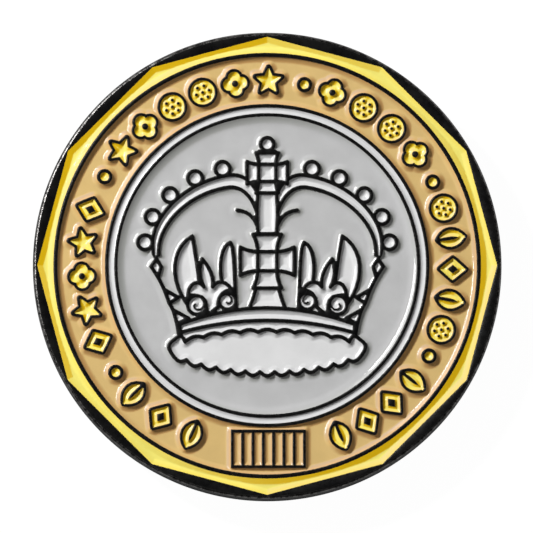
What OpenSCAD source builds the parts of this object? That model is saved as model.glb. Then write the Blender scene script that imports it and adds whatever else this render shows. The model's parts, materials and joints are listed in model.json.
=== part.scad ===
// Golf ball marker: a large struck coin whose face is filled with soft enamel.
// A steel blank carries every raised line; each recess between the lines holds its own chip of enamel.
// +Z points out of the face, +Y to the top of the crown, and the origin is the centre of the resting face.

/* [Coin] */
// Diameter over the coin's edge; the whole face drawing scales with it
coin_d = 40; // [34:0.5:46]
// Thickness from the resting face to the top of the raised lines
coin_t = 3; // [2.4:0.1:4]
// Chamfer round both edges
edge_chamfer = 0.25; // [0.1:0.05:0.3]
// Depth of the sunk field on the reverse
reverse_depth = 0.25; // [0.1:0.05:0.5]
// Width of the raised rim on the reverse, on a 40 mm coin
reverse_rim_w = 1.5; // [1:0.1:2.5]

/* [Enamel] */
// Depth of the struck recesses below the raised lines
recess_depth = 0.5; // [0.35:0.05:0.8]
// Drop from the raised lines to the enamel
enamel_drop = 0.2; // [0.1:0.05:0.3]
// Corner radius that the die cutter leaves in every recess, on a 40 mm coin
cutter_r = 0.06; // [0.03:0.01:0.08]
// Narrowest gap between two lines that still takes enamel, on a 40 mm coin
narrowest_fill = 0.2; // [0.16:0.01:0.24]

/* [Face rings on a 40 mm coin] */
// Number of sides of the yellow border
border_sides = 12; // [10:2:16]
// Distance from the centre to the border's corners
border_r = 19.62; // [19.5:0.01:19.68]
// Radius of the line between the border and the tan band
band_r = 18.06; // [17.9:0.02:18.1]
// Radius of the line between the tan band and the pale ring
ring_r = 13.7; // [13.5:0.05:13.8]
// Radius of the line between the pale ring and the grey field
field_r = 12.91; // [12.8:0.01:12.95]
// Width of the line round the band
band_line_w = 0.36; // [0.28:0.02:0.4]
// Width of the lines round the pale ring
ring_line_w = 0.3; // [0.24:0.02:0.34]

/* [Line work on a 40 mm coin] */
// Width of the crown's lines
crown_line_w = 0.34; // [0.24:0.02:0.36]
// Height of an ornament inside its outline
ornament_h = 2.24; // [1.8:0.04:2.32]
// Width of the outline round each ornament
ornament_line_w = 0.26; // [0.2:0.01:0.3]
// Width of the outline round each stop between the ornament groups
stop_line_w = 0.3; // [0.2:0.01:0.34]
// Width of the bars in the grille
bar_w = 0.26; // [0.18:0.01:0.3]

/* [Hidden] */
$fn = 32;
ring_fn = 180;                 // facets of the large rings
corner_fn = 12;                // facets in a full turn, for corners too small to see
art = coin_d / 40;             // the face is drawn for a 40 mm coin and scaled by this
face_z = coin_t;               // top of the raised lines
floor_z = face_z - recess_depth;
enamel_z = face_z - enamel_drop;
cut_over = 0.5;                // how far a cutting tool runs past the face it cuts

black = [0.10, 0.10, 0.11];
yellow = [0.96, 0.86, 0.35];
tan = [0.84, 0.71, 0.47];
grey = [0.74, 0.74, 0.74];
pale = [0.87, 0.87, 0.87];

// Crown pieces from the back of the drawing to the front: a later one covers an earlier one.
CROWN = ["cap", "pearls", "arches", "side_crosses", "tall_leaves", "fleurons", "scrolls",
         "column", "upper_cross", "lower_cross", "finial", "circlet", "fur_trim"];
// Crown pieces that are whole discs, with no corner for a cutter to round.
ROUND_PIECES = ["pearls", "scrolls", "finial"];

// Ornament groups round the band: how many, middle direction in degrees and spacing in degrees.
GROUPS = [[3, 235, 11], [5, 183.4, 10.5], [6, 115.6, 10.4], [4, 53.2, 10.8], [5, -1.2, 9.6], [4, -52.7, 9.4]];
// Directions of the round stops between the groups.
STOPS = [215.4, 151.3, 78.4, 26.8, -29.4];

ENAMELS = ["border_enamel", "band_enamel", "ring_enamel", "field_enamel", "cap_enamel",
           "pearls_enamel", "arches_enamel", "side_crosses_enamel", "tall_leaves_enamel",
           "fleurons_enamel", "scrolls_enamel", "column_enamel", "upper_cross_enamel",
           "lower_cross_enamel", "finial_enamel", "circlet_enamel", "fur_trim_enamel",
           "ornaments_1_enamel", "ornaments_2_enamel", "ornaments_3_enamel",
           "ornaments_4_enamel", "ornaments_5_enamel", "ornaments_6_enamel",
           "stops_enamel", "grille_enamel"];

// ---------------------------------------------------------------- curves

function mix(a, b, t) = a + (b - a) * t;
function bezier(p, t) =
    let (a = mix(p[0], p[1], t), b = mix(p[1], p[2], t), c = mix(p[2], p[3], t))
    mix(mix(a, b, t), mix(b, c, t), t);
// Points along a cubic, without its last point, so that curves can be chained.
function curve(p, n = 7) = [for (i = [0 : n - 1]) bezier(p, i / n)];
function reversed(p) = [for (i = [len(p) - 1 : -1 : 0]) p[i]];
function polar(r, a) = [r * cos(a), r * sin(a)];
// Unit normal on the left of a cubic at t.
function normal(p, t) =
    let (d = bezier(p, t + 0.001) - bezier(p, t - 0.001))
    [-d[1], d[0]] / norm(d);

// A closed outline whose edge has moved outwards by grow, as a raised line of that half width needs.
module outline(points, grow) {
    offset(r = grow, $fn = corner_fn) polygon(points);
}

// A round-ended raised line along points, as a row of quadrilaterals and discs.
module raised_line(points, w) {
    for (i = [0 : len(points) - 2])
        let (along = points[i + 1] - points[i], side = [-along[1], along[0]] / norm(along) * w / 2)
            polygon([points[i] + side, points[i] - side, points[i + 1] - side, points[i + 1] + side]);
    for (p = points) translate(p) circle(d = w, $fn = corner_fn);
}

module both_sides() {
    children();
    mirror([1, 0]) children();
}

// Rounds the corners of a recess and drops slivers too narrow to take enamel.
module cut_by_cutter() {
    offset(r = cutter_r, $fn = corner_fn)
        offset(delta = narrowest_fill / 2 - cutter_r)
        offset(delta = -narrowest_fill / 2) children();
}

// ---------------------------------------------------------------- crown

// Each piece of the crown is one or more closed outlines, drawn with their edges moved outwards by grow.
// The crown is the same on both sides, so most pieces are drawn on the left only.

// The left arch's upper and lower edges, each from the crown's side up and over to the column.
ARCH_TOP = [[[-9.7, 1.0], [-10.4, 3.8], [-7.2, 7.2], [-3.15, 7.75]],
            [[-3.15, 7.75], [-2.1, 7.85], [-1.25, 7.15], [-0.8, 6.1]]];
ARCH_UNDER = [[[-9.25, 0.9], [-9.5, 3.4], [-6.7, 6.25], [-3.25, 6.7]],
              [[-3.25, 6.7], [-2.1, 6.8], [-1.2, 5.8], [-0.8, 4.3]]];
function arch_edge(edge) = concat(curve(edge[0], 20), curve(edge[1], 9), [edge[1][3]]);

module arches(grow) {
    both_sides() outline(concat(arch_edge(ARCH_TOP), reversed(arch_edge(ARCH_UNDER))), grow);
}

// Where the pearls stand along the arch's upper edge, how far their centres stand off it, and their size.
PEARL_T = [0.11, 0.33, 0.545, 0.76, 0.955];
PEARL_OFF = 0.63;
PEARL_R = 0.62;

module pearls(grow) {
    both_sides() for (t = PEARL_T)
        translate(bezier(ARCH_TOP[0], t) + PEARL_OFF * normal(ARCH_TOP[0], t))
            circle(r = PEARL_R + grow);
}

// The crown's side, from the foot of the arch down to the fur.
SIDE = [[-9.7, 1.0], [-9.45, 0.55], [-9.9, -0.1], [-9.3, -1.05], [-8.8, -2.05],
        [-8.35, -3.25], [-8.05, -3.8], [-7.7, -5.0], [-7.45, -6.5]];

// The cloth cap behind everything else fills the crown's whole outline, a little past the middle.
module cap(grow) {
    both_sides() outline(concat(arch_edge(ARCH_TOP), [[0.5, 6.1], [0.5, -6.5]], reversed(SIDE)), grow);
}

module side_crosses(grow) {
    both_sides() {
        outline([SIDE[1], SIDE[2], SIDE[3], [-9.05, -0.1]], grow);
        outline([SIDE[4], SIDE[5], [-7.6, -2.75]], grow);
        outline([SIDE[6], SIDE[7], [-6.7, -4.55]], grow);
    }
}

module tall_leaves(grow) {
    both_sides() {
        outline(concat(curve([[-6.4, 2.5], [-8.5, 1.3], [-8.4, -2.2], [-5.9, -4.3]], 12),
                       curve([[-5.9, -4.3], [-5.5, -2.4], [-6.0, 0.2], [-6.4, 2.5]], 6)), grow);
        outline(concat(curve([[-3.15, 1.95], [-4.3, 1.6], [-4.4, -2.2], [-2.6, -4.2]], 12),
                       curve([[-2.6, -4.2], [-2.85, -2.2], [-2.7, 1.6], [-3.15, 1.95]], 6)), grow);
    }
}

// The lily's side petals curl over the scrolls, and its middle petal stands between them.
module fleurons(grow) {
    both_sides() outline(concat(
        curve([[-5.15, -4.3], [-5.1, -3.0], [-5.5, -2.5], [-6.75, -2.55]], 6),
        curve([[-6.75, -2.55], [-6.75, -1.5], [-5.8, -1.15], [-5.4, -1.85]], 6),
        curve([[-5.4, -1.85], [-5.8, -1.1], [-5.85, -0.3], [-5.55, 0.55]], 6),
        curve([[-5.55, 0.55], [-4.9, -0.2], [-4.55, -1.0], [-4.65, -1.85]], 6),
        curve([[-4.65, -1.85], [-4.3, -1.2], [-3.45, -1.3], [-3.05, -2.1]], 6),
        curve([[-3.05, -2.1], [-4.1, -2.2], [-4.3, -3.0], [-4.2, -4.1]], 6)), grow);
}

// The left scrolls: centre, radius, and how far the line inside is turned.
SCROLLS = [[[-6.0, -3.4], 0.8, 0], [[-3.4, -3.05], 0.72, 90]];
CURL_LINE_W = 0.18;

// The line that winds in from the edge of a scroll of radius r.
module curl(r) {
    steps = 8;
    raised_line([for (i = [0 : steps]) polar(r * (1 - 0.8 * i / steps), 100 - 304 * i / steps)], CURL_LINE_W);
}

module scrolls(grow) {
    both_sides() for (scroll = SCROLLS) translate(scroll[0]) difference() {
        circle(r = scroll[1] + grow);
        if (grow < 0) rotate(scroll[2]) curl(scroll[1]);
    }
}

COLUMN_Y = 4.45;
COLUMN_HALF_H = 1.75;
COLUMN_HALF_W = 0.88;
COLUMN_TAPER = 0.1;            // narrowing of each side towards the column's ends
COLUMN_FOOT = [[-1.7, -4.1], [1.7, -4.1], [1.25, -2.95], [0.95, -1.95], [-0.95, -1.95], [-1.25, -2.95]];

module column(grow) {
    outline([for (side = [1, -1]) for (t = [-1 : 1 / 3 : 1])
        [side * (COLUMN_HALF_W - COLUMN_TAPER * t * t), COLUMN_Y + side * COLUMN_HALF_H * t]], grow);
    outline(COLUMN_FOOT, grow);
}

// An arm of a cross that flares from half width a, at distance d, to half width b, at distance e.
function flared_edge(a, d, b, e, n = 4) =
    [for (i = [0 : n]) let (t = i / n) [mix(d, e, t), mix(a, b, t * t)]];

// A cross of four arms round a square of half width half; each arm is as long as arm and ends flare wide.
module cross(centre, half, arm, flare, grow) {
    translate(centre) {
        outline([[-half, -half], [half, -half], [half, half], [-half, half]], grow);
        for (a = [0 : 90 : 270])
            let (edge = flared_edge(half, half, flare, arm))
                rotate(a) outline(concat(edge, [for (p = reversed(edge)) [p[0], -p[1]]]), grow);
    }
}

module upper_cross(grow) {
    cross(centre = [0, 7.93], half = 0.74, arm = 1.72, flare = 0.95, grow = grow);
}

module lower_cross(grow) {
    cross(centre = [0, 0.35], half = 0.82, arm = 2.3, flare = 1.2, grow = grow);
}

module finial(grow) {
    translate([0, 10.39]) circle(r = 0.56 + grow);
}

// The circlet is two strips between three bowed edges: each edge's height in the middle, and its bow.
CIRCLET_HALF = 7.45;
CIRCLET_EDGES = [[-3.65, 1.4], [-4.72, 1.05], [-6.4, 1.05]];
function bow(edge) = [for (t = [-1 : 1 / 8 : 1]) [CIRCLET_HALF * t, edge[0] - edge[1] * t * t]];

module circlet(grow) {
    for (i = [0, 1]) outline(concat(bow(CIRCLET_EDGES[i]), reversed(bow(CIRCLET_EDGES[i + 1]))), grow);
}

// A row of n lobes of the given depth from a to b, without its last point. The row bows by sag.
function lobes(a, b, sag, n, depth, per = 5) =
    let (along = b - a, out = [along[1], -along[0]] / norm(along))
    [for (i = [0 : n * per - 1]) let (t = i / (n * per))
        mix(a, b, t) + out * (sag * pow(4 * t * (1 - t), 0.85) + depth * abs(sin(180 * n * t)))];

// The fur's left end: where its upper edge, its shoulder and its lower edge begin.
FUR_TOP = [-7.0, -6.55];
FUR_SHOULDER = [-7.9, -6.35];
FUR_LOW = [-8.15, -7.55];
function flipped(p) = [-p[0], p[1]];

module fur_trim(grow) {
    outline(concat(lobes(flipped(FUR_TOP), FUR_TOP, 0.85, 9, 0.22),
                   lobes(FUR_TOP, FUR_SHOULDER, 0, 1, 0.4),
                   lobes(FUR_SHOULDER, FUR_LOW, 0, 1, 0.36),
                   lobes(FUR_LOW, flipped(FUR_LOW), 1.58, 13, 0.34),
                   lobes(flipped(FUR_LOW), flipped(FUR_SHOULDER), 0, 1, 0.36),
                   lobes(flipped(FUR_SHOULDER), flipped(FUR_TOP), 0, 1, 0.4)), grow);
}

module crown_piece(name, grow) {
    if (name == "cap") cap(grow);
    if (name == "pearls") pearls(grow);
    if (name == "arches") arches(grow);
    if (name == "side_crosses") side_crosses(grow);
    if (name == "tall_leaves") tall_leaves(grow);
    if (name == "fleurons") fleurons(grow);
    if (name == "scrolls") scrolls(grow);
    if (name == "column") column(grow);
    if (name == "upper_cross") upper_cross(grow);
    if (name == "lower_cross") lower_cross(grow);
    if (name == "finial") finial(grow);
    if (name == "circlet") circlet(grow);
    if (name == "fur_trim") fur_trim(grow);
}

// Short lines of metal that enclose no enamel: two sprigs on the column, and its two collars.
module crown_lines() {
    both_sides() raised_line(curve([[-0.9, 3.5], [-1.3, 4.4], [-1.9, 4.75], [-3.0, 4.75]]), crown_line_w);
    raised_line([[-0.7, 9.76], [0.7, 9.76]], crown_line_w);
    raised_line([[-1.05, 2.68], [1.05, 2.68]], crown_line_w);
}

// Everything in the crown that stands in front of piece k, lines included.
module in_front_of(k) {
    for (j = [0 : len(CROWN) - 1]) if (j > k) crown_piece(CROWN[j], crown_line_w / 2);
    crown_lines();
}

// The crown's outer edge, with the gaps closed that are too narrow to take enamel.
module crown_silhouette() {
    offset(delta = -narrowest_fill / 2) offset(delta = narrowest_fill / 2) in_front_of(-1);
}

// The enamel recesses of crown piece k: inside its own line and not covered by a nearer piece.
module crown_recess(k) {
    if (search([CROWN[k]], ROUND_PIECES)[0] == [])
        cut_by_cutter() difference() {
            crown_piece(CROWN[k], -crown_line_w / 2);
            in_front_of(k);
        }
    else
        crown_piece(CROWN[k], -crown_line_w / 2);
}

// ---------------------------------------------------------------- ornaments on the band

BAND_MID = (band_r + ring_r) / 2 - 0.05;       // a little inside the middle
STOP_R = 0.37;                 // enamel in a stop
GRILLE_SIZE = [6.4, 3.3];
GRILLE_CORNER = [0.1, -15.7] - GRILLE_SIZE / 2;
GRILLE_SLOTS = 7;
ORNAMENT_KINDS = 5;

// The ornaments are drawn about 2 high. A positive grow gives the outer edge of the line round them, and
// grow 0 the recess, with the lines inside the shape left standing.
module ring_lozenge(grow) {
    difference() {
        outline([[0, 1], [0.84, 0], [0, -1], [-0.84, 0]], grow);
        if (grow == 0) polygon([[0, 0.42], [0.34, 0], [0, -0.42], [-0.34, 0]]);
    }
}

module veined_leaf(grow) {
    edge = curve([[0, 1.05], [0.6, 0.7], [1.1, -0.3], [0, -1.0]]);
    vein = [[0, 0.62], [0.12, 0.2], [0.12, -1.1], [-0.12, -1.1], [-0.12, 0.2]];
    difference() {
        outline(concat(edge, [[0, -1.0]], [for (p = reversed(edge)) flipped(p)]), grow);
        if (grow == 0) polygon(vein);
    }
}

module concave_star(grow) {
    points = 5;
    outline([for (i = [0 : 2 * points - 1]) polar(i % 2 == 0 ? 1.05 : 0.5, 90 + i * 180 / points)], grow);
}

module quatrefoil(grow) {
    petal = 0.46;
    difference() {
        for (a = [0 : 90 : 270]) rotate(a) translate([petal, 0]) circle(r = petal + grow);
        if (grow == 0) circle(r = 0.25);
    }
}

module dimpled_ball(grow) {
    dimples = concat([[0, 0]], [for (a = [0 : 60 : 300]) polar(0.52, a)]);
    difference() {
        circle(r = 0.92 + grow);
        if (grow == 0) for (p = dimples) translate(p) circle(r = 0.12);
    }
}

module pointed_ornament(kind, grow) {
    if (kind == 0) veined_leaf(grow);
    if (kind == 1) ring_lozenge(grow);
    if (kind == 2) concave_star(grow);
}

module ornament(kind, grow) {
    if (kind == 3) quatrefoil(grow);
    else if (kind == 4) dimpled_ball(grow);
    else if (grow > 0) pointed_ornament(kind, grow);
    else cut_by_cutter() pointed_ornament(kind, grow);
}

// Ornament i of group g; each group reads the same from both ends.
module ornament_at(g, i, grow) {
    n = GROUPS[g][0];
    direction = GROUPS[g][1] + ((n - 1) / 2 - i) * GROUPS[g][2];
    size = ornament_h / 2;
    rotate(direction - 90) translate([0, BAND_MID]) scale(size)
        ornament((min(i, n - 1 - i) + g) % ORNAMENT_KINDS, grow / size);
}

module ornament_group(g, grow) {
    for (i = [0 : GROUPS[g][0] - 1]) ornament_at(g, i, grow);
}

module stops(r) {
    for (a = STOPS) translate(polar(BAND_MID, a)) circle(r = r);
}

module grille_outline() {
    translate(GRILLE_CORNER) square(GRILLE_SIZE);
}

module grille_recess() {
    pitch = (GRILLE_SIZE[0] - bar_w) / GRILLE_SLOTS;
    for (i = [0 : GRILLE_SLOTS - 1])
        translate(GRILLE_CORNER + [bar_w + i * pitch, bar_w])
            square([pitch - bar_w, GRILLE_SIZE[1] - 2 * bar_w]);
}

// The outer outlines of the ornaments, stops and grille, which the band's enamel flows round.
module band_islands() {
    for (g = [0 : len(GROUPS) - 1]) ornament_group(g, ornament_line_w);
    stops(STOP_R + stop_line_w);
    grille_outline();
}

// ---------------------------------------------------------------- face recesses

module annulus(outer, inner) {
    difference() {
        circle(r = outer, $fn = ring_fn);
        circle(r = inner, $fn = ring_fn);
    }
}

// The outline of every recess on the face, by the name of the enamel that fills it.
module recess(name) {
    if (name == "border_enamel")
        difference() {
            rotate(90) polygon([for (i = [0 : border_sides - 1]) polar(border_r, i * 360 / border_sides)]);
            circle(r = band_r + band_line_w / 2, $fn = ring_fn);
        }
    if (name == "band_enamel")
        difference() {
            annulus(band_r - band_line_w / 2, ring_r + ring_line_w / 2);
            band_islands();
        }
    if (name == "ring_enamel") annulus(ring_r - ring_line_w / 2, field_r + ring_line_w / 2);
    if (name == "field_enamel")
        difference() {
            circle(r = field_r - ring_line_w / 2, $fn = ring_fn);
            crown_silhouette();
        }
    for (k = [0 : len(CROWN) - 1]) if (name == str(CROWN[k], "_enamel")) crown_recess(k);
    for (g = [0 : len(GROUPS) - 1]) if (name == str("ornaments_", g + 1, "_enamel"))
        ornament_group(g, 0);
    if (name == "stops_enamel") stops(STOP_R);
    if (name == "grille_enamel") grille_recess();
}

function enamel_colour(name) =
    name == "band_enamel" || name == "grille_enamel" ? tan :
    name == "border_enamel" || name == "stops_enamel" || search("ornaments", name)[0] == 0 ? yellow :
    name == "field_enamel" || name == "cap_enamel" ? grey : pale;

// ---------------------------------------------------------------- solids

module enamel(name) {
    color(enamel_colour(name))
        translate([0, 0, floor_z]) linear_extrude(enamel_z - floor_z) scale(art) recess(name);
}

module blank() {
    r = coin_d / 2;
    sunk_r = r - reverse_rim_w * art;
    rotate_extrude($fn = ring_fn)
        polygon([[0, reverse_depth], [sunk_r, reverse_depth], [sunk_r, 0],
                 [r - edge_chamfer, 0], [r, edge_chamfer],
                 [r, face_z - edge_chamfer], [r - edge_chamfer, face_z], [0, face_z]]);
}

module coin_body() {
    color(black) difference() {
        blank();
        for (name = ENAMELS)
            translate([0, 0, floor_z]) linear_extrude(recess_depth + cut_over) scale(art) recess(name);
    }
}

coin_body();
for (name = ENAMELS) enamel(name);
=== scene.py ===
"""The looks of a coin ball marker: black struck metal whose recesses hold glossy soft enamel.

The outline of every recess comes from the CAD enamel nodes. Each fill is rebuilt as a closed mesh
whose surface climbs to the metal round it, as enamel does when it cures, and the metal is rebuilt
with rounded line tops and edges. Geometry is worked out in millimetres and scaled at the end.
"""

import json
import math
from collections import namedtuple

import bpy
import numpy as np
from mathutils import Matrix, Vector
from mathutils.geometry import delaunay_2d_cdt
from mathutils.kdtree import KDTree


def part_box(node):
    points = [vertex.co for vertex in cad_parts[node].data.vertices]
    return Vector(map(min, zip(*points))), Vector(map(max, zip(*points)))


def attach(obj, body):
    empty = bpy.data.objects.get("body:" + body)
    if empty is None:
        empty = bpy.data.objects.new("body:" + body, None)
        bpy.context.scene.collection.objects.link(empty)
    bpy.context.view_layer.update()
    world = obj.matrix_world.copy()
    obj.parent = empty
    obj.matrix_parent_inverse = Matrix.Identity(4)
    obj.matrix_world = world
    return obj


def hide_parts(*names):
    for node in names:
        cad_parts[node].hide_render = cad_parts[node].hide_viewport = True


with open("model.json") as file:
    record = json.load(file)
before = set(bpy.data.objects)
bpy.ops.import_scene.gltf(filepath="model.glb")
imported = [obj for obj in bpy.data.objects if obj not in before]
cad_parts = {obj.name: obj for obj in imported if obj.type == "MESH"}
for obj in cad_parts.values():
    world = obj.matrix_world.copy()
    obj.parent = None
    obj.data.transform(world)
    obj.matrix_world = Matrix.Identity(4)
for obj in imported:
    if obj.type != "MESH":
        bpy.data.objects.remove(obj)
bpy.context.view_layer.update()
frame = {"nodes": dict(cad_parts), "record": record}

MM = 1000.0                      # millimetres in a metre

# ---------------------------------------------------------------- sizes taken from the frame

BODY = "coin_body"
ENAMELS = sorted(name for name in frame["nodes"] if name != BODY)
body_low, body_high = (np.array(corner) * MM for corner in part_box(BODY))
enamel_low, enamel_high = (np.array(corner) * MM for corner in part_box("band_enamel"))
COIN_R = (body_high[0] - body_low[0]) / 2
FACE_Z = body_high[2]
FLOOR_Z = enamel_low[2]
FILL_Z = enamel_high[2]

KEY_AZIMUTH, KEY_ZENITH = 140, 60        # direction of the main light, in degrees from +X and from +Z


def direction(azimuth, zenith):
    """Unit vector towards a light."""
    a, z = math.radians(azimuth), math.radians(zenith)
    return Vector((math.sin(z) * math.cos(a), math.sin(z) * math.sin(a), math.cos(z)))


# ---------------------------------------------------------------- sizes of the finish, in mm

LINE_ROUND = 0.07                # rounding of the raised lines' edges
EDGE_ROUND = 0.3                 # rounding of the coin's edges
RIM_W = 1.5                      # raised rim on the reverse
RIM_SOFT = 0.1                   # rounding of its inner edge
REVERSE_DEPTH = 0.25             # of the sunk field inside that rim
# The corner where the rim meets the field: (inward from the rim, short of the field, blasted).
FIELD_CORNER = ((0, 0.05, 0), (0.02, 0.015, 0.3), (0.07, 0, 1))

# How bright the plating is rubbed, from 0 to 1.
LINE_WEAR = 0.4                  # on the raised lines' edges
EDGE_WEAR = 0.9                  # on the coin's upper edge
WORN_FROM, WORN_TO = 0.15, 0.9   # the part of that edge's rounding, in radians from its top
RIM_WEAR = 0.6                   # on the reverse rim's inner edge

# How a fill sits against the metal: how far below the face it meets it, how far it sinks from there,
# over what distance, and how the slope eases off (1 is straight, 2 a parabola).
Fill = namedtuple("Fill", "contact sink width power")

# By material slot, or by node where one differs from the rest of its slot.
FILLS = {
    "yellow_enamel": Fill(0.07, 0.16, 0.42, 1.5),
    "border_enamel": Fill(0.03, 0.125, 0.50, 1.0),
    "tan_enamel": Fill(0.07, 0.20, 0.46, 1.6),
    "grille_enamel": Fill(0.07, 0.10, 0.33, 1.5),
    "grey_enamel": Fill(0.08, 0.11, 0.58, 2.0),
    "field_enamel": Fill(0.09, 0.13, 0.55, 2.0),
    "pale_enamel": Fill(0.07, 0.15, 0.48, 1.7),
    "ring_enamel": Fill(0.07, 0.058, 0.26, 1.4),
    "fur_trim_enamel": Fill(0.07, 0.12, 0.38, 1.5),
}
# Nodes whose fill climbs higher at its outermost wall.
OUTER_WALLS = {"field_enamel": Fill(0.02, 0.20, 0.85, 2.0)}

# ---------------------------------------------------------------- how finely it is built, in mm and radians

STEP = 0.1                       # between points along an outline
ROUND_STEP = 0.18                # between points along a large circle
GRID = 0.7                       # between points over a wide fill
AROUND = 360                     # points round the coin's edge
CURVE_PARTS = 8                  # parts of a smooth curve between two of its points
BEND = 0.42                      # turn that earns a curve one more point
SHARP_TURN = 0.7                 # any turn above this is a true corner
SLIGHT_TURN = 0.2                # and so is this one where a facet can't stand for a curve
FACET_BULGE = 0.03               # furthest that a curve stands from a facet that replaces it
OUT_OF_ROUND = 0.003             # furthest that a circle's points stray from it
LEVEL = 0.01                     # an upper face is this near the top of the fill
FOLD_ANGLE = 70                  # degrees; edges that turn more than this are shaded sharp
MERGE = 1e-6                     # points this close become one
TINY = 1e-12                     # keeps divisions finite

RIDGE_GAP = 0.05                 # between points along a ridge, where two slopes of a fill meet
NARROWEST = 0.03                 # ridges nearer than this to the metal are left out
ROW_CLEARANCE = 0.045            # between a row's points and a ridge

# Rows of points that follow the walls of a fill, as shares of the distance over which it sinks. The
# last two hold the crest where the slope ends. A few wider ones follow an outermost wall.
ROW_SHARES = (0.05, 0.13, 0.23, 0.36, 0.5, 0.65, 0.8, 0.97, 1.03)
OUTER_ROW_SHARES = (1.15, 1.3, 1.5)
LINE_ROW_SHARES = (0.25, 1.0)    # the same on the raised lines, as shares of their rounding

# ---------------------------------------------------------------- outlines from the CAD fills


def top_outlines(node):
    """Closed outlines round the upper faces of a CAD node, with the fill on their left."""
    mesh = frame["nodes"][node].data
    co = np.empty(len(mesh.vertices) * 3)
    mesh.vertices.foreach_get("co", co)
    co = co.reshape(-1, 3) * MM
    merged, places, index = {}, [], []
    for x, y, _ in co:
        key = (round(x, 3), round(y, 3))
        if key not in merged:
            merged[key] = len(places)
            places.append((x, y))
        index.append(merged[key])
    mesh.calc_loop_triangles()
    after = set()                # directed edges that no neighbouring triangle runs the other way
    for triangle in mesh.loop_triangles:
        if min(co[v][2] for v in triangle.vertices) < FILL_Z - LEVEL:
            continue
        a, b, c = (index[v] for v in triangle.vertices)
        for edge in ((a, b), (b, c), (c, a)):
            if edge[::-1] in after:
                after.remove(edge[::-1])
            elif edge[0] != edge[1]:
                after.add(edge)
    following = dict(after)
    outlines = []
    while following:
        start, here = following.popitem()
        chain = [start]
        while here != start:
            chain.append(here)
            here = following.pop(here)
        outlines.append(np.array([places[i] for i in chain]))
    return outlines


def fit_circle(p):
    """(centre, radius) if the closed outline p is a faceted circle, else None."""
    if len(p) < 7:
        return None
    a = np.c_[2 * p, np.ones(len(p))]
    solution = np.linalg.lstsq(a, (p ** 2).sum(1), rcond=None)[0]
    centre = solution[:2]
    radius = math.sqrt(max(solution[2] + centre @ centre, 0))
    off = np.abs(np.linalg.norm(p - centre, axis=1) - radius).max()
    longest = np.linalg.norm(np.roll(p, -1, 0) - p, axis=1).max()
    bulge = longest ** 2 / (8 * radius)
    if off > OUT_OF_ROUND or bulge > FACET_BULGE:
        return None
    return centre, radius


def turning(p):
    """Angle turned at each point of the closed outline p, and the shorter edge beside it."""
    ahead = np.roll(p, -1, 0) - p
    behind = np.roll(ahead, 1, 0)
    cross = behind[:, 0] * ahead[:, 1] - behind[:, 1] * ahead[:, 0]
    dot = (behind * ahead).sum(1)
    length = np.minimum(np.linalg.norm(ahead, axis=1), np.linalg.norm(behind, axis=1))
    return np.abs(np.arctan2(cross, dot)), length


def knot_gap(a, b):
    """Spacing between the knots of two points on a centripetal curve."""
    return max(np.linalg.norm(b - a), MERGE) ** 0.5


def spline(p, closed):
    """A fine centripetal Catmull-Rom curve through p, without its last point."""
    if closed:
        q = np.concatenate([p[-1:], p, p[:2]])
    else:
        q = np.concatenate([2 * p[:1] - p[1:2], p, 2 * p[-1:] - p[-2:-1]])
    out = []
    for i in range(1, len(q) - 2):
        p0, p1, p2, p3 = q[i - 1:i + 3]
        t1 = knot_gap(p0, p1)
        t2 = t1 + knot_gap(p1, p2)
        t3 = t2 + knot_gap(p2, p3)
        t = np.linspace(t1, t2, CURVE_PARTS + 1)[:-1, None]
        a1 = (t1 - t) / t1 * p0 + t / t1 * p1
        a2 = (t2 - t) / (t2 - t1) * p1 + (t - t1) / (t2 - t1) * p2
        a3 = (t3 - t) / (t3 - t2) * p2 + (t - t2) / (t3 - t2) * p3
        b1 = (t2 - t) / t2 * a1 + t / t2 * a2
        b2 = (t3 - t) / (t3 - t1) * a2 + (t - t1) / (t3 - t1) * a3
        out.append((t2 - t) / (t2 - t1) * b1 + (t - t1) / (t2 - t1) * b2)
    return np.concatenate(out)


def even_points(p):
    """Resamples the open curve p, without its last point: closer where it bends."""
    leg = np.diff(p, axis=0)
    length = np.linalg.norm(leg, axis=1)
    heading = np.unwrap(np.arctan2(leg[:, 1], leg[:, 0]))
    bends = np.concatenate([[0.0], np.abs(np.diff(heading))])
    measure = np.concatenate([[0.0], np.cumsum(length / STEP + bends / BEND)])
    count = max(2, math.ceil(measure[-1]))
    at = np.arange(count) * measure[-1] / count
    return np.c_[np.interp(at, measure, p[:, 0]), np.interp(at, measure, p[:, 1])]


def refine(p):
    """The smooth outline that the faceted outline p stands for, with its true corners kept."""
    circle = fit_circle(p)
    if circle:
        centre, radius = circle
        count = max(16, math.ceil(math.tau * radius / min(ROUND_STEP, STEP + radius * 0.02)))
        turn = np.arange(count) / count * math.tau
        area = (p[:, 0] * np.roll(p[:, 1], -1) - p[:, 1] * np.roll(p[:, 0], -1)).sum()
        turn = turn if area > 0 else -turn
        return centre + radius * np.c_[np.cos(turn), np.sin(turn)]
    angle, edge = turning(p)
    bulge = edge * angle / 8
    corners = np.flatnonzero((angle > SHARP_TURN) | ((angle > SLIGHT_TURN) & (bulge > FACET_BULGE)))
    if len(corners) == 0:
        curve = spline(p, True)
        return even_points(np.concatenate([curve, curve[:1]]))
    out = []
    for first, last in zip(corners, np.roll(corners, -1)):
        span = (last - first) % len(p) or len(p)
        chain = p[(first + np.arange(span + 1)) % len(p)]
        curve = spline(chain, False) if span > 1 else chain[:1]
        out.append(even_points(np.concatenate([curve, chain[-1:]])))
    return np.concatenate(out)


# ---------------------------------------------------------------- surfaces over outlines


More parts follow.
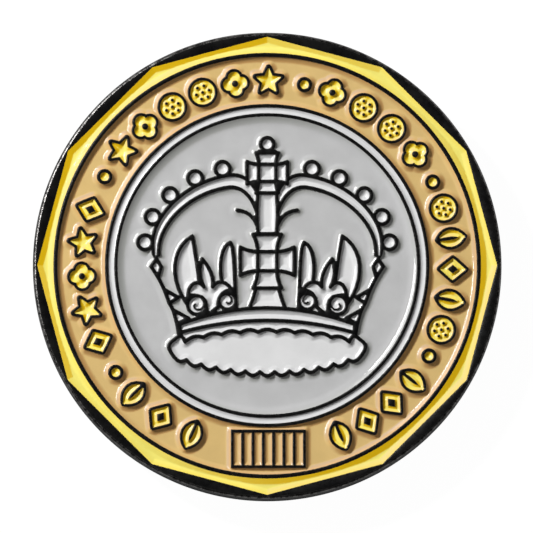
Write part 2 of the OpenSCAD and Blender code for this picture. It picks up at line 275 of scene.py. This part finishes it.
class Walls:
    """Distance from points to a set of closed outlines."""

    def __init__(self, outlines):
        self.p = np.concatenate(outlines)
        self.before = np.concatenate([np.roll(o, 1, 0) for o in outlines])
        self.after = np.concatenate([np.roll(o, -1, 0) for o in outlines])
        self.tree = KDTree(len(self.p))
        for i, (x, y) in enumerate(self.p):
            self.tree.insert((x, y, 0), i)
        self.tree.balance()

    def distance(self, points):
        """Distance from each point to the nearest outline."""
        near = np.array([self.tree.find((x, y, 0))[1] for x, y in points], int)
        best = np.full(len(points), np.inf)
        for other in (self.before, self.after):
            a, b = self.p[near], other[near]
            along = b - a
            t = ((points - a) * along).sum(1) / np.maximum((along ** 2).sum(1), TINY)
            foot = a + np.clip(t, 0, 1)[:, None] * along
            best = np.minimum(best, np.linalg.norm(points - foot, axis=1))
        return best


def left_normals(p):
    """Unit normals on the left of the closed outline p, at its points."""
    tangent = np.roll(p, -1, 0) - np.roll(p, 1, 0)
    tangent /= np.maximum(np.linalg.norm(tangent, axis=1), TINY)[:, None]
    return np.c_[-tangent[:, 1], tangent[:, 0]]


def loop_edges(outlines):
    """Index pairs of the outlines' edges when their points are laid end to end."""
    edges, start = [], 0
    for o in outlines:
        n = len(o)
        edges += [(start + i, start + (i + 1) % n) for i in range(n)]
        start += n
    return edges


def triangulate(outlines, extra, left=True):
    """Triangles that fill the region on the left (or the right) of the outlines.

    Returns (points, triangles, where each outline point went).
    """
    points = np.concatenate(list(outlines) + ([extra] if len(extra) else []))
    edges = loop_edges(outlines)
    every_triangle = 1
    verts, _, faces, origin, _, _ = delaunay_2d_cdt(
        [Vector(p) for p in points], edges, [], every_triangle, MERGE, True)
    where = {}
    for new, olds in enumerate(origin):
        for old in olds:
            where[old] = new
    forward = {(where[a], where[b]) for a, b in edges}
    beside = {}
    for f, (a, b, c) in enumerate(faces):
        for edge in ((a, b), (b, c), (c, a)):
            beside[edge] = f
    # the triangles beside an outline are known to be in or out, and the rest follow their neighbours
    inside = [None] * len(faces)
    known = []
    for edge in forward:
        for way, side in ((edge, left), (edge[::-1], not left)):
            f = beside.get(way)
            if f is not None and inside[f] is None:
                inside[f] = side
                known.append(f)
    while known:
        f = known.pop()
        a, b, c = faces[f]
        for edge in ((a, b), (b, c), (c, a)):
            g = beside.get(edge[::-1])
            wall = edge in forward or edge[::-1] in forward
            if g is not None and not wall and inside[g] is None:
                inside[g] = inside[f]
                known.append(g)
    kept = [tuple(face) for face, side in zip(faces, inside) if side]
    count = sum(len(o) for o in outlines)
    return np.array([tuple(v) for v in verts]), kept, [where[i] for i in range(count)]


def ridge_points(outlines, reach):
    """Points on the middle lines between walls, where the two slopes of a fill meet.

    They are the centres of the circles round the triangles that span the fill from wall to wall.
    """
    points, faces, _ = triangulate(outlines, np.empty((0, 2)))
    a, b, c = (points[[f[i] for f in faces]] for i in range(3))
    ab, ac = b - a, c - a
    d = 2 * (ab[:, 0] * ac[:, 1] - ab[:, 1] * ac[:, 0])
    d = np.where(np.abs(d) < TINY, TINY, d)
    ab2, ac2 = (ab ** 2).sum(1), (ac ** 2).sum(1)
    centre = a + np.c_[ac[:, 1] * ab2 - ab[:, 1] * ac2, ab[:, 0] * ac2 - ac[:, 0] * ab2] / d[:, None]
    radius = np.linalg.norm(centre - a, axis=1)
    spans = [np.linalg.norm(u - v, axis=1) for u, v in ((a, b), (b, c), (c, a))]
    from_wall_to_wall = np.max(spans, axis=0) > radius * 0.9
    return centre[from_wall_to_wall & (radius < reach) & (radius > NARROWEST)]


def thin_out(points, gap):
    """Drops points closer than gap to an earlier one."""
    seen, keep = {}, []
    for i, (x, y) in enumerate(points):
        cell = (math.floor(x / gap), math.floor(y / gap))
        close = False
        for dx in (-1, 0, 1):
            for dy in (-1, 0, 1):
                for j in seen.get((cell[0] + dx, cell[1] + dy), ()):
                    close = close or math.dist(points[j], (x, y)) < gap
        if not close:
            seen.setdefault(cell, []).append(i)
            keep.append(i)
    return points[keep]


def grid_points(outlines, gap):
    """A triangular grid of points over the box round the outlines."""
    low = np.min([o.min(0) for o in outlines], axis=0)
    high = np.max([o.max(0) for o in outlines], axis=0)
    row_gap = gap * 0.87
    return np.array([(x + (i % 2) * gap / 2, y)
                     for i, y in enumerate(np.arange(low[1], high[1], row_gap))
                     for x in np.arange(low[0], high[0], gap)])


def surface_points(outlines, walls, rows, ridge_reach=0.0, grid=0.0):
    """Extra points for a surface over the outlines: rows beside the walls, ridges and a grid.

    Each row is (distance from the walls, one point for every so many of the outline's).
    """
    ridges = np.empty((0, 2))
    if ridge_reach:
        found = ridge_points(outlines, ridge_reach)
        if len(found):
            ridges = thin_out(found[walls.distance(found) > NARROWEST], RIDGE_GAP)
    near_ridge = KDTree(max(len(ridges), 1))
    for i, (x, y) in enumerate(ridges):
        near_ridge.insert((x, y, 0), i)
    near_ridge.balance()
    sets = [ridges]
    for offset, every in rows:
        row = np.concatenate([(o + left_normals(o) * offset)[::every] for o in outlines])
        past_a_ridge = walls.distance(row) <= offset * 0.94
        row = row[~past_a_ridge]
        if len(ridges) and len(row):
            gap = min(ROW_CLEARANCE, offset * 0.6)
            clear = [near_ridge.find((x, y, 0))[2] > gap for x, y in row]
            row = row[np.array(clear)]
        sets.append(row)
    if grid:
        cells = grid_points(outlines, grid)
        last_row = rows[-1][0]
        sets.append(cells[walls.distance(cells) > last_row + grid * 0.6])
    return np.concatenate(sets)


def enamel_height(distance, fill):
    """Height of a fill's surface at a distance from the metal."""
    u = np.clip(distance / fill.width, 0, 1)
    return FACE_Z - fill.contact - fill.sink * (1 - (1 - u) ** fill.power)


def size_of(outline):
    """Diagonal of the box round an outline."""
    return np.linalg.norm(outline.max(0) - outline.min(0))


def line_height(distance):
    """Height of the metal at a distance from the nearest recess."""
    inset = LINE_ROUND - np.clip(distance, 0, LINE_ROUND)
    return FACE_Z - LINE_ROUND + np.sqrt(LINE_ROUND ** 2 - inset ** 2)


def make_piece(name, verts, faces, slot, **attributes):
    """A smooth closed piece from points in mm, with point attributes, riding on the coin."""
    mesh = bpy.data.meshes.new(name)
    mesh.from_pydata([tuple(v) for v in np.asarray(verts) / MM], [], faces)
    for key, values in attributes.items():
        attribute = mesh.attributes.new(key, "FLOAT", "POINT")
        attribute.data.foreach_set("value", np.asarray(values, np.float32))
    mesh.validate()
    mesh.shade_smooth()
    mesh.set_sharp_from_angle(angle=math.radians(FOLD_ANGLE))
    piece = bpy.data.objects.new(name, mesh)
    bpy.context.scene.collection.objects.link(piece)
    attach(piece, "root")
    return piece


def enamel_piece(node, outlines, slot):
    """One node's fills: a climbing surface on top, walls, and a flat underside on the recess floor."""
    walls = Walls(outlines)
    fill = FILLS.get(node, FILLS[slot])
    rows = [(share * fill.width, 1) for share in ROW_SHARES]
    if node in OUTER_WALLS:
        rows += [(share * fill.width, 3) for share in OUTER_ROW_SHARES]
    extra = surface_points(outlines, walls, rows, ridge_reach=fill.width, grid=GRID)
    points, faces, rim = triangulate(outlines, extra)
    distance = walls.distance(points)
    distance[rim] = 0.0
    height = enamel_height(distance, fill)
    if node in OUTER_WALLS:
        outermost = Walls([max(outlines, key=size_of)])
        height = np.maximum(height, enamel_height(outermost.distance(points), OUTER_WALLS[node]))
    top = np.c_[points, height]
    flat, under, under_rim = triangulate(outlines, np.empty((0, 2)))
    count = len(points)
    bottom = np.c_[flat, np.full(len(flat), FLOOR_Z)]
    all_faces = [tuple(f) for f in faces]
    all_faces += [tuple(count + i for i in reversed(f)) for f in under]
    for a, b in loop_edges(outlines):
        all_faces.append((rim[b], rim[a], count + under_rim[a], count + under_rim[b]))
    wall = np.concatenate([distance, np.zeros(len(flat))])
    return make_piece(node + "_fill", np.concatenate([top, bottom]), all_faces, slot, wall_mm=wall)


def edge_profile():
    """(radius, height, worn, blasted) down the coin's edge and in across the reverse."""
    quarter = [math.radians(a) for a in range(0, 91, 10)]
    flat_r = COIN_R - EDGE_ROUND             # where the flat face ends
    field_r = COIN_R - RIM_W                 # the reverse's sunk field
    lip_r = field_r + RIM_SOFT               # where the reverse rim's inner edge starts to round
    profile = [(flat_r + EDGE_ROUND * math.sin(a), FACE_Z - EDGE_ROUND * (1 - math.cos(a)),
                EDGE_WEAR * (WORN_FROM < a < WORN_TO), 0) for a in quarter[1:]]
    profile += [(COIN_R, z, 0, 0) for z in np.linspace(FACE_Z - EDGE_ROUND, EDGE_ROUND, 7)[1:-1]]
    profile += [(flat_r + EDGE_ROUND * math.cos(a), EDGE_ROUND * (1 - math.sin(a)), 0, 0) for a in quarter]
    profile += [(flat_r - (flat_r - field_r - RIM_SOFT) * share, 0, 0, 0) for share in (0.2, 0.6)]
    profile += [(lip_r - RIM_SOFT * math.sin(a), RIM_SOFT * (1 - math.cos(a)), RIM_WEAR, 0)
                for a in quarter[::3]]
    profile += [(field_r - inward, REVERSE_DEPTH - rise, 0, blast) for inward, rise, blast in FIELD_CORNER]
    profile += [(field_r * share, REVERSE_DEPTH, 0, 1) for share in (0.95, 0.8, 0.6, 0.4, 0.2)]
    return profile


class Solid:
    """The points and faces of one closed solid, gathered in parts."""

    def __init__(self):
        self.verts, self.wear, self.blasted, self.faces = [], [], [], []
        self.count = 0

    def add(self, places, height, wear=0.0, blasted=0.0):
        """Adds points at places, all at one height or each at its own; returns the first one's index."""
        first = self.count
        self.count += len(places)
        for values, given in ((self.wear, wear), (self.blasted, blasted)):
            values.append(np.full(len(places), given))
        self.verts.append(np.c_[places, np.full(len(places), height)])
        return first


def add_recesses(solid, outlines_by_node, tops):
    """Adds the recesses' walls and floors under their upper outlines, whose indices are tops."""
    start = 0
    for outlines in outlines_by_node.values():
        flat, floor, floor_rim = triangulate(outlines, np.empty((0, 2)))
        first = solid.add(flat, FLOOR_Z)
        solid.faces += [tuple(first + i for i in f) for f in floor]
        for a, b in loop_edges(outlines):
            upper = tops[start + a], tops[start + b]
            solid.faces.append((*upper, first + floor_rim[b], first + floor_rim[a]))
        start += len(floor_rim)


def add_edge_and_reverse(solid, ring, top):
    """Adds the coin's edge and its reverse below the face's rim, whose points' indices are top."""
    above = top
    for radius, height, worn, blast in edge_profile():
        first = solid.add(radius * ring, height, worn, blast)
        for i in range(AROUND):
            j = (i + 1) % AROUND
            solid.faces.append((above[j], above[i], first + i, first + j))
        above = range(first, first + AROUND)
    middle = solid.add(np.zeros((1, 2)), REVERSE_DEPTH, blasted=1.0)
    solid.faces += [(above[(i + 1) % AROUND], above[i], middle) for i in range(AROUND)]


def metal_piece(outlines_by_node, slot):
    """The struck blank: rounded raised lines, recesses, coin edge and reverse, as one closed solid."""
    recesses = [o for outlines in outlines_by_node.values() for o in outlines]
    walls = Walls(recesses)
    turn = np.arange(AROUND) / AROUND * math.tau
    ring = np.c_[np.cos(turn), np.sin(turn)]
    face_rim = (COIN_R - EDGE_ROUND) * ring[::-1]
    rows = [(share * LINE_ROUND, 1) for share in LINE_ROW_SHARES]
    extra = surface_points([o[::-1] for o in recesses], walls, rows)
    points, faces, at = triangulate([face_rim] + recesses, extra, left=False)
    top, recess_tops = at[:AROUND][::-1], at[AROUND:]
    distance = walls.distance(points)
    distance[recess_tops] = 0.0
    solid = Solid()
    rubbed = LINE_WEAR * np.clip(2 - 2 * distance / LINE_ROUND, 0, 1)
    solid.add(points, line_height(distance), wear=rubbed)
    solid.faces += faces
    add_recesses(solid, outlines_by_node, recess_tops)
    add_edge_and_reverse(solid, ring, top)
    return make_piece("struck_metal", np.concatenate(solid.verts), solid.faces, slot,
                      wear=np.concatenate(solid.wear), blasted=np.concatenate(solid.blasted))


# ---------------------------------------------------------------- materials


class Shader:
    """A node material under construction."""

    def __init__(self, name):
        self.material = bpy.data.materials.new(name)
        self.material.use_nodes = True
        self.nodes = self.material.node_tree.nodes
        self.links = self.material.node_tree.links
        self.principled = self.nodes["Principled BSDF"]
        self.place = self.node("ShaderNodeNewGeometry").outputs["Position"]

    def node(self, kind, **settings):
        """Adds a node."""
        made = self.nodes.new(kind)
        for key, value in settings.items():
            setattr(made, key, value)
        return made

    def wire(self, source, target):
        """Sets a socket from another socket or from a plain value."""
        if isinstance(source, bpy.types.NodeSocket):
            self.links.new(source, target)
        else:
            target.default_value = source

    def set(self, name, source):
        """Sets one of the main shader's values."""
        self.wire(source, self.principled.inputs[name])

    def noise(self, size_mm, detail=3.0, roughness=0.5):
        """Noise from 0 to 1 with features of about size_mm."""
        noise = self.node("ShaderNodeTexNoise")
        self.wire(self.place, noise.inputs["Vector"])
        self.wire(MM / size_mm, noise.inputs["Scale"])
        self.wire(detail, noise.inputs["Detail"])
        self.wire(roughness, noise.inputs["Roughness"])
        return noise.outputs["Fac"]

    def facing(self, way):
        """How much the surface faces a direction, from -1 to 1."""
        dot = self.node("ShaderNodeVectorMath", operation="DOT_PRODUCT")
        self.wire(self.node("ShaderNodeNewGeometry").outputs["Normal"], dot.inputs[0])
        self.wire(tuple(way), dot.inputs[1])
        return dot.outputs["Value"]

    def attribute(self, name):
        """A point attribute of the piece."""
        return self.node("ShaderNodeAttribute", attribute_name=name).outputs["Fac"]

    def math(self, operation, a, b):
        """The result of one operation on two numbers."""
        made = self.node("ShaderNodeMath", operation=operation)
        self.wire(a, made.inputs[0])
        self.wire(b, made.inputs[1])
        return made.outputs[0]

    def remap(self, value, low, high, to_low, to_high, smooth=True):
        """Carries the range low to high over to to_low to to_high, and holds its ends beyond."""
        made = self.node("ShaderNodeMapRange", interpolation_type="SMOOTHSTEP" if smooth else "LINEAR")
        for key, given in zip(("Value", "From Min", "From Max", "To Min", "To Max"),
                              (value, low, high, to_low, to_high)):
            self.wire(given, made.inputs[key])
        return made.outputs["Result"]

    def mix(self, factor, a, b):
        """Mixes two colours, each a socket or (red, green, blue)."""
        made = self.node("ShaderNodeMix", data_type="RGBA")
        self.wire(factor, made.inputs["Factor"])
        first_colour, second_colour, result = made.inputs[6], made.inputs[7], made.outputs[2]
        for source, target in ((a, first_colour), (b, second_colour)):
            self.wire((*source, 1.0) if isinstance(source, tuple) else source, target)
        return result

    def blend(self, factor, a, b):
        """Mixes two shaders."""
        made = self.node("ShaderNodeMixShader")
        for source, target in zip((factor, a, b), made.inputs):
            self.wire(source, target)
        return made.outputs[0]

    def bump(self, height, distance_mm, strength, normal=None):
        """A normal that a height from 0 to 1 tilts, on top of an earlier one if given."""
        made = self.node("ShaderNodeBump")
        self.wire(height, made.inputs["Height"])
        self.wire(distance_mm / MM, made.inputs["Distance"])
        self.wire(strength, made.inputs["Strength"])
        if normal is not None:
            self.wire(normal, made.inputs["Normal"])
        return made.outputs["Normal"]


# Each enamel's colours: on the flat, then a painted shade for beside the metal and for slopes turned from
# the main light, then a painted light for slopes towards it. Last comes how much of the painted shade shows
# beside the metal.
ENAMEL_LOOKS = {
    "yellow_enamel": ((0.95, 0.84, 0.18), (0.98, 0.61, 0.003), (0.71, 0.555, 0.25), 0.3),
    "tan_enamel": ((0.705, 0.49, 0.19), (0.65, 0.375, 0.13), (0.515, 0.375, 0.245), 0.6),
    "grey_enamel": ((0.53, 0.53, 0.53), (0.43, 0.435, 0.415), (0.40, 0.40, 0.40), 0.6),
    "pale_enamel": ((0.75, 0.75, 0.75), (0.62, 0.62, 0.62), (0.53, 0.53, 0.53), 0.6),
}
WALL_REACH = 0.4                 # mm from the metal over which the painted shade fades

# How squarely a slope faces the main light, beside how squarely a level surface does. The painted light
# fades in over the first range, and the painted shade fades out over the second.
TOWARDS, AWAY = (1.1, 1.55), (0.6, 0.98)

PALER, DARKER = 1.03, 0.96       # the two ends of the pigment clouds
MIDDLE = (0.3, 0.7)              # where most of a noise lies


def enamel_material(name, colour, painted_shade, painted_light, shade_share_by_metal):
    """Glossy cured enamel with faint pigment clouds and ripple.

    The second colour is painted shade, put beside the metal and on the slopes that turn away from the main
    light. The third is painted light, put on the slopes that face it.
    """
    s = Shader(name)
    main = direction(KEY_AZIMUTH, KEY_ZENITH)
    level = main.z
    # Painted shade beside the raised metal, fading out over WALL_REACH.
    beside = s.remap(s.attribute("wall_mm"), 0.0, WALL_REACH, shade_share_by_metal, 0.0)
    # Painted shade on the slopes that turn away from the main light.
    away = s.remap(s.facing(main), AWAY[0] * level, AWAY[1] * level, 1.0, 0.0)
    # Painted light on the slopes that face the main light.
    towards = s.remap(s.facing(main), TOWARDS[0] * level, TOWARDS[1] * level, 0.0, 1.0)
    clouds = s.remap(s.noise(2.2), *MIDDLE, 0.0, 1.0)
    paler = tuple(min(1.0, c * PALER) for c in colour)
    darker = tuple(c * DARKER for c in colour)
    base = s.mix(towards, s.mix(clouds, darker, paler), painted_light)
    base = s.mix(s.math("MAXIMUM", beside, away), base, painted_shade)
    s.set("Base Color", base)
    s.set("Roughness", s.remap(s.noise(1.1), *MIDDLE, 0.36, 0.44))
    s.set("Specular IOR Level", 0.25)
    s.set("Coat Weight", 1.0)
    s.set("Coat Roughness", 0.04)
    ripple = s.bump(s.noise(0.9, detail=2.0), 0.02, 0.5)
    peel = s.bump(s.noise(0.16, detail=2.0), 0.003, 0.6, ripple)
    s.set("Normal", peel)
    s.set("Coat Normal", peel)
    return s.material


PLATING = ((0.0018, 0.0018, 0.002), (0.006, 0.0058, 0.0056))     # the two ends of its clouds
RUBBED = (0.32, 0.31, 0.30)
BLASTED = (0.09, 0.09, 0.094)


def metal_material():
    """Black nickel plating: satin, with edges rubbed brighter in patches, and a fine blasted reverse."""
    s = Shader("black_nickel_plating")
    blasted = s.attribute("blasted")
    patchy = s.remap(s.noise(0.5, detail=5.0, roughness=0.7), 0.38, 0.62, 0.15, 1.0)
    worn = s.math("MULTIPLY", s.attribute("wear"), patchy)
    clouds = s.remap(s.noise(2.4, detail=4.0), *MIDDLE, 0.0, 1.0)
    black = s.mix(s.math("MULTIPLY", blasted, s.noise(0.12, detail=2.0)), s.mix(clouds, *PLATING), BLASTED)
    s.set("Base Color", s.mix(worn, black, RUBBED))
    s.set("Metallic", s.remap(worn, 0.0, 0.2, 0.0, 1.0))
    s.set("Specular IOR Level", 0.4)
    satin = s.remap(s.noise(0.5, detail=4.0), *MIDDLE, 0.24, 0.34)
    s.set("Roughness", s.math("ADD", satin, s.math("MULTIPLY", blasted, 0.16)))
    cast = s.bump(s.noise(0.13, detail=3.0), 0.006, 0.6)
    s.set("Normal", s.bump(s.noise(0.1, detail=2.0), 0.03, blasted, cast))
    return s.material


# The floor's glow: its strength to the camera, and then its strength in reflections and as light, each
# as (mm outward from the coin's edge, strength).
SEEN_GLOW = 1.04
AT_FOOT, CLEAR_OF_FOOT = (0.3, 0.06), (2.5, 0.5)
UNDER_COIN, UNDER_EDGE = (-1.4, 0.8), (-0.8, 0.0)
GLOW_SHARE = 0.94                # the rest is lit as paper is, and takes the coin's shadow


def floor_material():
    """Pale seamless paper, seen only from above.

    It is darker in reflections beside the coin's foot, as if in the coin's shadow. Its glow under the
    coin never shows in views from above: it only lights the reverse in views from below.
    """
    s = Shader("pale_paper")
    s.set("Base Color", s.mix(s.noise(12.0), (0.93, 0.93, 0.93), (0.95, 0.95, 0.95)))
    s.set("Roughness", 0.9)
    radius = s.node("ShaderNodeVectorMath", operation="LENGTH")
    s.wire(s.place, radius.inputs[0])

    def by_radius(near, far):
        """The strength between two of the places above."""
        places = ((COIN_R + outside) / MM for outside in (near[0], far[0]))
        return s.remap(radius.outputs["Value"], *places, near[1], far[1])

    unseen = s.math("MAXIMUM", by_radius(AT_FOOT, CLEAR_OF_FOOT), by_radius(UNDER_COIN, UNDER_EDGE))
    seen = s.node("ShaderNodeLightPath").outputs["Is Camera Ray"]
    glow = s.node("ShaderNodeEmission")
    s.wire(s.remap(seen, 0.0, 1.0, unseen, SEEN_GLOW, smooth=False), glow.inputs["Strength"])
    paper = s.blend(GLOW_SHARE, s.principled.outputs["BSDF"], glow.outputs[0])
    clear = s.node("ShaderNodeBsdfTransparent")
    from_below = s.node("ShaderNodeNewGeometry").outputs["Backfacing"]
    s.wire(s.blend(from_below, paper, clear.outputs[0]), s.nodes["Material Output"].inputs["Surface"])
    return s.material


# ---------------------------------------------------------------- the coin

SLOTS = {part["node"]: part["material_slot"] for part in frame["record"]["subparts"]}
MATERIALS = {slot: enamel_material(slot, *looks) for slot, looks in ENAMEL_LOOKS.items()}
MATERIALS["black_plating"] = metal_material()

all_outlines = {node: [refine(p) for p in top_outlines(node)] for node in ENAMELS}
for enamel in ENAMELS:
    piece = enamel_piece(enamel, all_outlines[enamel], SLOTS[enamel])
    piece.data.materials.append(MATERIALS[SLOTS[enamel]])
    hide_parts(enamel)
metal = metal_piece(all_outlines, SLOTS[BODY])
metal.data.materials.append(MATERIALS[SLOTS[BODY]])
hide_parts(BODY)

# ---------------------------------------------------------------- stage, light and camera


def area_light(name, azimuth, zenith, distance, size, power):
    """A panel light, placed by its direction from the coin; azimuth runs from +X to +Y.

    The distance and the size are in metres, and the power in watts.
    """
    light = bpy.data.lights.new(name, "AREA")
    light.shape = "RECTANGLE"
    light.size, light.size_y = size
    light.energy = power
    lamp = bpy.data.objects.new(name, light)
    way = direction(azimuth, zenith)
    lamp.location = way * distance
    lamp.rotation_mode = "QUATERNION"
    lamp.rotation_quaternion = way.to_track_quat("Z", "Y")
    bpy.context.scene.collection.objects.link(lamp)
    return lamp


def add_floor():
    """The paper under the coin, set aside so that the seam across its square clears the coin."""
    mesh = bpy.data.meshes.new("floor")
    half, aside = 1.5, 0.5               # metres
    corners = [(aside + half * x, half * y, 0) for x, y in ((-1, -1), (1, -1), (1, 1), (-1, 1))]
    mesh.from_pydata(corners, [], [(0, 1, 2, 3)])
    floor = bpy.data.objects.new("floor", mesh)
    bpy.context.scene.collection.objects.link(floor)
    floor.data.materials.append(floor_material())


def add_camera(elevation, width_share, aim_mm):
    """A long lens high over the coin, which takes up width_share of the picture's width.

    It leans a little towards the coin's lower edge.
    """
    camera = bpy.data.cameras.new("camera")
    camera.lens, camera.sensor_width = 600, 36
    camera.clip_start, camera.clip_end = 0.01, 10
    view = bpy.data.objects.new("camera", camera)
    across = 2 * COIN_R / MM / width_share
    distance = across / (camera.sensor_width / camera.lens)
    e = math.radians(elevation)
    back = Vector((0, -math.cos(e), math.sin(e)))
    view.location = Vector(aim_mm) / MM + back * distance
    view.rotation_mode = "QUATERNION"
    view.rotation_quaternion = back.to_track_quat("Z", "Y")
    bpy.context.scene.collection.objects.link(view)
    bpy.context.scene.camera = view


def add_world(strength, overhead, horizon):
    """Even light from all round, which reflections see as a dark card overhead and a pale room beyond."""
    world = bpy.data.worlds.new("studio")
    world.use_nodes = True
    nodes, links = world.node_tree.nodes, world.node_tree.links
    background = nodes["Background"]
    background.inputs["Color"].default_value = (1, 1, 1, 1)
    height = nodes.new("ShaderNodeSeparateXYZ")
    links.new(nodes.new("ShaderNodeTexCoord").outputs["Generated"], height.inputs[0])
    card = nodes.new("ShaderNodeMapRange")
    card.interpolation_type = "SMOOTHSTEP"
    for key, value in {"From Min": 0.05, "From Max": 0.45, "To Min": horizon, "To Max": overhead}.items():
        card.inputs[key].default_value = value
    links.new(height.outputs["Z"], card.inputs["Value"])
    level = nodes.new("ShaderNodeMapRange")
    level.inputs["To Min"].default_value = strength
    links.new(nodes.new("ShaderNodeLightPath").outputs["Is Glossy Ray"], level.inputs["Value"])
    links.new(card.outputs["Result"], level.inputs["To Max"])
    links.new(level.outputs["Result"], background.inputs["Strength"])
    bpy.context.scene.world = world


add_world(0.17, overhead=0.03, horizon=0.5)

# The main light shades the coin but has no reflection; the two panels show only in reflections.
LIGHT_DISTANCE = 0.6             # metres
main_light = area_light("key", KEY_AZIMUTH, KEY_ZENITH, LIGHT_DISTANCE, (0.07, 0.07), 5.95)
main_light.visible_glossy = False
for panel in (area_light("softbox", KEY_AZIMUTH, 55, LIGHT_DISTANCE, (0.3, 0.3), 0.7),
              area_light("streak", 150, 38, LIGHT_DISTANCE, (0.3, 0.07), 1.7)):
    panel.visible_diffuse = False

add_floor()
add_camera(elevation=84.6, width_share=468 / 533, aim_mm=(-0.057, 0.03, FACE_Z / 2))
bpy.context.scene.view_settings.view_transform = "Standard"
